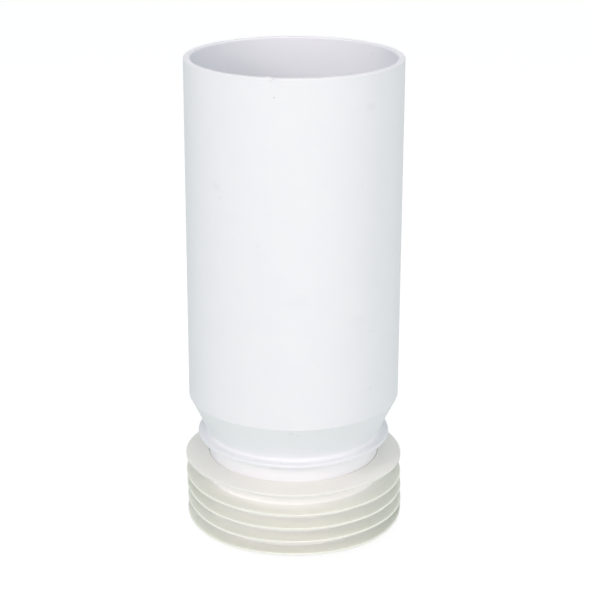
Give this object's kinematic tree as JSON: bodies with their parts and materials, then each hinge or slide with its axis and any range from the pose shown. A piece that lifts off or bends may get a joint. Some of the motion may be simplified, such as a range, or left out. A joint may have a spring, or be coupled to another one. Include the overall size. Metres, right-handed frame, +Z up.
{
  "type": "pipe extension piece",
  "caption": "Straight pipe extension with a plain socket end, a cone down to a collared neck, and a soft finned seal that pushes into a soil pipe.",
  "frame": {"origin": "centre of the foot of the seal, on the surface the piece stands on", "axes": "+Z up along the pipe's axis, from the finned end to the plain end; the piece is the same all the way round"},
  "size_m": [0.1144, 0.1144, 0.25],
  "materials": {
    "pipe_plastic": "white moulded plastic with a soft sheen",
    "seal_rubber": "matt off-white soft rubber, a little see-through at its edges"
  },
  "bodies": {
    "root": {"pipe_body": "pipe_plastic", "finned_seal": "seal_rubber"}
  },
  "joints": []
}
